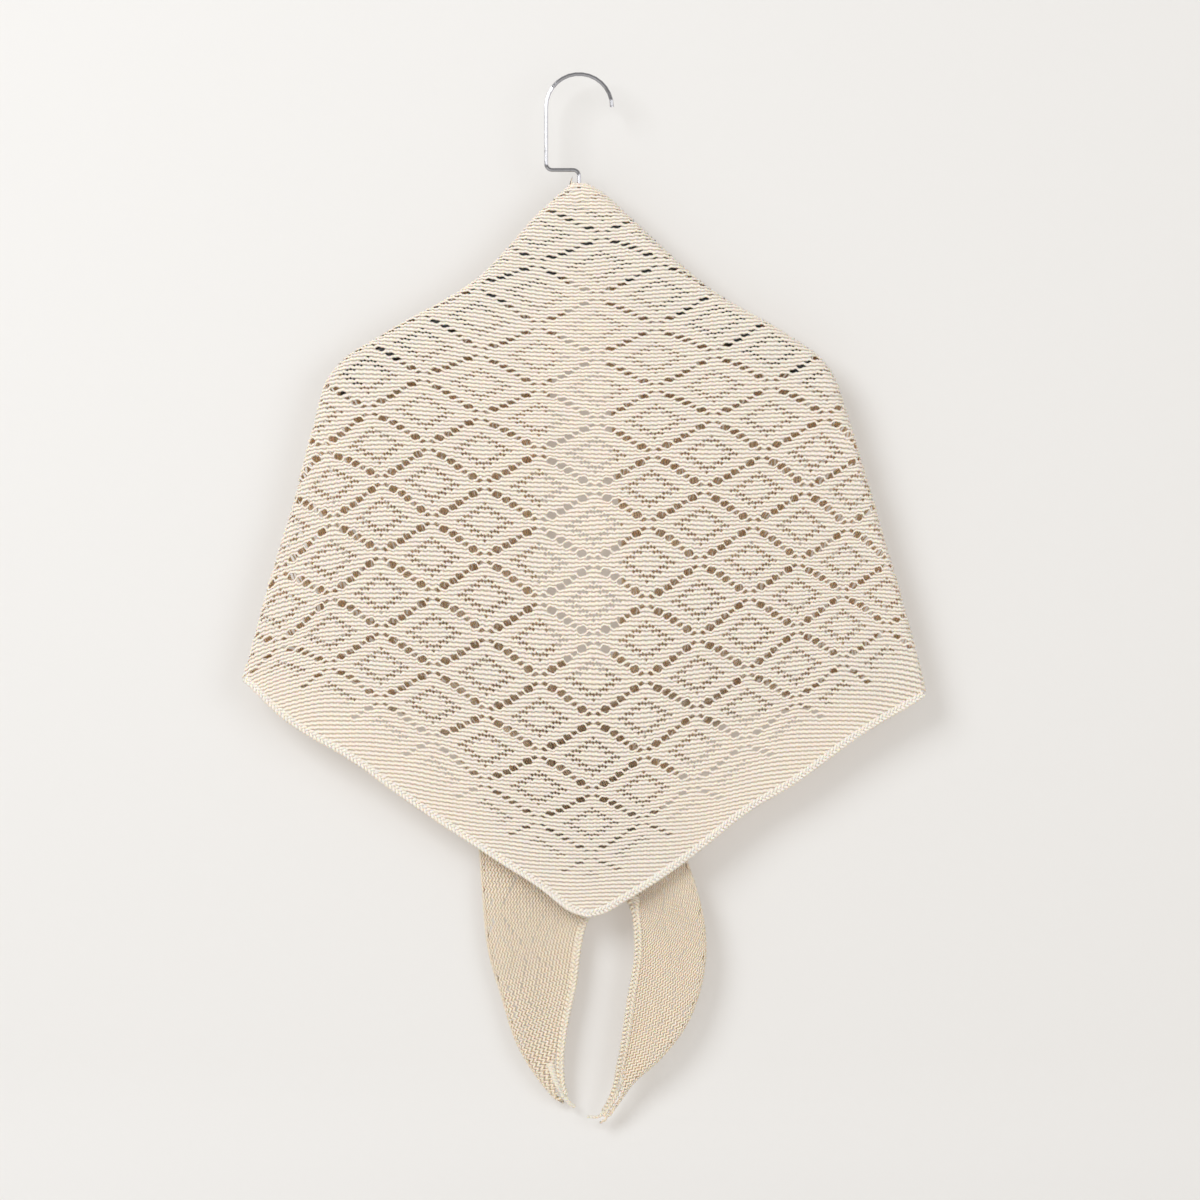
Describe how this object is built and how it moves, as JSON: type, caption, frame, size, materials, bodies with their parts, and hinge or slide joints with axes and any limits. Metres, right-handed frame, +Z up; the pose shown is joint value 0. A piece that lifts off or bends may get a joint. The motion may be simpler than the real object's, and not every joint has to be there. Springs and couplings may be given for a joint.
{
  "type": "triangle shawl on a clothes hanger",
  "caption": "Knitted triangle shawl in diamond lace, folded over a flat clothes hanger with its two ends crossed and hanging behind the point.",
  "frame": {"origin": "inner underside of the hook's crown, where a rail holds it", "axes": "+Z up, +X to the right as seen from the front, the front of the shawl towards -Y"},
  "size_m": [0.5611, 0.0345, 0.8597],
  "materials": {
    "knit_outside": "cream knitted yarn, ridged side out",
    "knit_inside": "cream knitted yarn, smooth side",
    "braided_edging": "cream braided yarn",
    "hanger_plastic": "black, softly matt",
    "hook_wire": "bright round wire"
  },
  "bodies": {
    "root": {"front_panel": "knit_outside", "wing_left": "knit_inside", "wing_right": "knit_inside", "tail_left": "knit_inside", "tail_right": "knit_inside", "edging_front_left": "braided_edging", "edging_front_right": "braided_edging", "edging_wing_left": "braided_edging", "edging_wing_right": "braided_edging", "hanger_body": "hanger_plastic", "hanger_hook": "hook_wire"}
  },
  "joints": []
}
